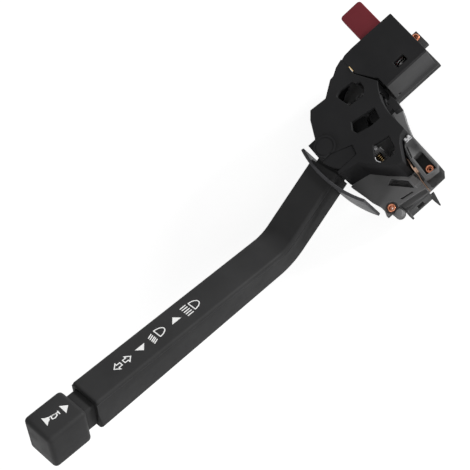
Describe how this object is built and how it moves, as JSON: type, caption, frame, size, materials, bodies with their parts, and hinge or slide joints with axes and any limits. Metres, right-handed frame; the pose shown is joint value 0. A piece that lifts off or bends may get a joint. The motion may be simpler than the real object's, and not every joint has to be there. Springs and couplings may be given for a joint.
{
  "type": "combination stalk switch",
  "caption": "Steering column stalk switch with a cranked lever for turn signals and beams, a horn push in its end, a dust shield and a red pull tab for the hazard lamps.",
  "frame": {"origin": "turn pivot's axis on the mounting face, the underside of the base plate", "axes": "+X to the driver's right, +Y up the column to the hazard tab, +Z out of the mounting face towards the driver"},
  "size_m": [0.217, 0.1004, 0.0945],
  "materials": {
    "black_plastic": "fine-grained black",
    "carrier_plastic": "smooth black, slightly glossy",
    "grey_plastic": "dark grey, glass filled",
    "block_plastic": "mid grey",
    "red_plastic": "dark red",
    "cream_plastic": "natural, slightly translucent",
    "steel": "bright zinc plated",
    "copper": "copper coloured contact metal",
    "leaf_brass": "bare brass"
  },
  "bodies": {
    "head": {"base_plate": "grey_plastic", "head_cover": "black_plastic", "hazard_housing": "grey_plastic", "hazard_cover": "black_plastic", "hazard_spring": "steel", "hazard_contacts": "copper", "terminal_block": "block_plastic", "terminal_rivets": "copper", "terminal_leaf": "steel", "rim_clip": "steel", "plug_shroud": "grey_plastic", "plug_blades": "copper", "base_contacts": "copper", "pivot_pin": "steel", "detent_spring": "steel", "cover_leaf": "leaf_brass"},
    "carrier": {"lever_carrier": "carrier_plastic", "tilt_pin": "steel", "pawl_pin": "steel", "pawl_spring": "steel"},
    "lever": {"lever_arm": "black_plastic", "dust_shield": "black_plastic", "horn_spring": "steel"},
    "horn": {"horn_plunger": "carrier_plastic", "horn_knob": "black_plastic"},
    "pawl": {"cancel_pawl": "carrier_plastic"},
    "slide": {"contact_slide": "cream_plastic", "slide_bridge": "copper"},
    "detent": {"detent_plunger": "steel"},
    "hazard": {"hazard_tab": "red_plastic", "hazard_bridge": "copper"}
  },
  "joints": [
    {"name": "turn_swing", "type": "hinge", "parent": "head", "child": "carrier", "pos_m": [0, 0, 0.009], "axis": [0, 0, -1], "range_deg": [0, 24]},
    {"name": "beam_tilt", "type": "hinge", "parent": "carrier", "child": "lever", "pos_m": [-0.01106, -0.00317, 0.0094], "axis": [-0.2756, 0.9613, 0], "range_deg": [-6, 6]},
    {"name": "horn_push", "type": "slide", "parent": "lever", "child": "horn", "axis": [0.7988, 0.229, -0.5563], "range_m": [0, 0.0025], "stiffness_N_per_m": 2000, "springref_m": -0.001, "deforming": ["horn_spring"]},
    {"name": "pawl_swing", "type": "hinge", "parent": "carrier", "child": "pawl", "pos_m": [0.01, -0.0036, 0.0115], "axis": [0, 0, 1], "range_deg": [-10, 10], "stiffness_Nm_per_rad": 0.02},
    {"name": "contact_slide", "type": "slide", "parent": "head", "child": "slide", "axis": [1, 0, 0], "range_m": [0, 0.0044]},
    {"name": "detent_push", "type": "slide", "parent": "head", "child": "detent", "axis": [0, -1, 0], "range_m": [0, 0.0015], "stiffness_N_per_m": 800, "springref_m": -0.001, "deforming": ["detent_spring"]},
    {"name": "hazard_pull", "type": "slide", "parent": "head", "child": "hazard", "axis": [0, 1, 0], "range_m": [0, 0.005], "stiffness_N_per_m": 300, "springref_m": -0.002, "deforming": ["hazard_spring"]}
  ],
  "couplings": [
    {"joint": "contact_slide", "follows": "turn_swing", "m_per_rad": 0.010423}
  ]
}
